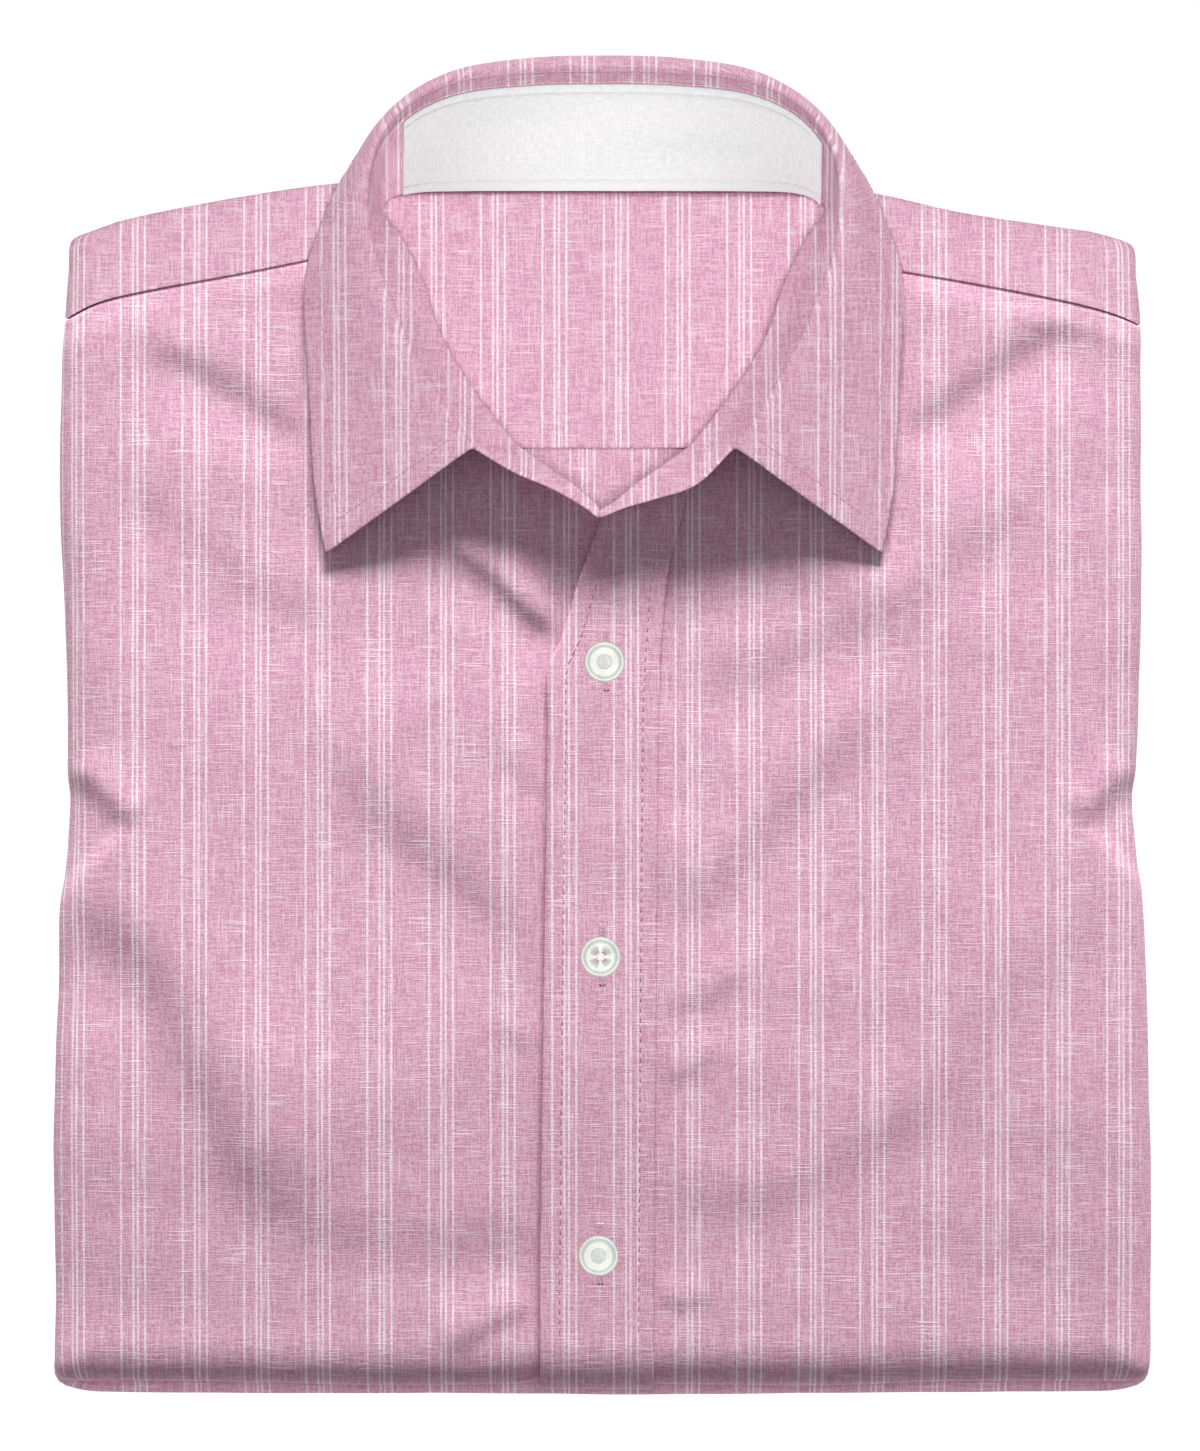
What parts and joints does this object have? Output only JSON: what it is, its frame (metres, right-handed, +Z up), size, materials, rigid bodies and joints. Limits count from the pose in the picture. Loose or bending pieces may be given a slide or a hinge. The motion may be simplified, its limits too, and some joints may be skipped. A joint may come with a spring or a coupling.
{
  "type": "folded dress shirt",
  "caption": "Button-front dress shirt in pink striped chambray, folded flat and lying face up, with an open turn-down collar, a white inner collar band and pale buttons.",
  "frame": {"origin": "under the middle of the folded shirt, on the surface it lies on", "axes": "+Y from the tail fold to the collar, +X to the wearer's left, +Z up out of the shirt front"},
  "size_m": [0.3295, 0.4023, 0.0367],
  "materials": {
    "chambray": "slub chambray, pink with groups of fine white stripes",
    "folded_cloth": "the same chambray, in the folded layers under the front",
    "white_facing": "plain white poplin",
    "button": "off-white pearly resin"
  },
  "bodies": {
    "root": {"folded_layers": "folded_cloth", "back": "chambray", "yoke": "chambray", "front_left": "chambray", "front_right": "chambray", "placket": "chambray", "collar_stand": "chambray", "collar_stand_facing": "white_facing", "collar_leaf": "chambray", "button_top": "button", "button_middle": "button", "button_bottom": "button"}
  },
  "joints": []
}
